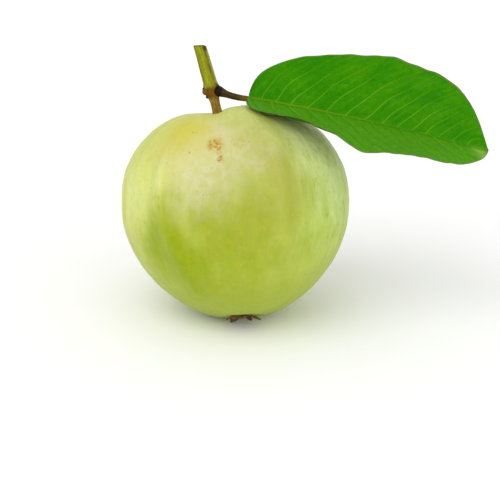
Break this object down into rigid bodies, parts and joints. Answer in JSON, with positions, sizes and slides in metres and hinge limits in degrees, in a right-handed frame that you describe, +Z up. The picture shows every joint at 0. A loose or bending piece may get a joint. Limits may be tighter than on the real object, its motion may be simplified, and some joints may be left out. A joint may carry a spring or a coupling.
{
  "type": "guava",
  "caption": "Whole green guava as picked, with a cut twig, a leaf stalk and one leaf; it rests on a small flat spot at its foot.",
  "frame": {"origin": "middle of the small flat spot at the fruit's foot, where it rests on a surface", "axes": "+Z up; +X the way the leaf grows; the dried calyx leans to -Y and the stalk leans to +Y"},
  "size_m": [0.126, 0.0803, 0.0935],
  "materials": {
    "skin": "satin, waxy pale green skin with a faint bloom",
    "calyx": "dry and matt",
    "twig": "smooth green shoot, brown at the node",
    "petiole": "satin, dark brown",
    "leaf": "waxy green with paler veins"
  },
  "bodies": {
    "root": {"fruit": "skin", "calyx": "calyx", "twig": "twig", "petiole": "petiole", "leaf": "leaf"}
  },
  "joints": []
}
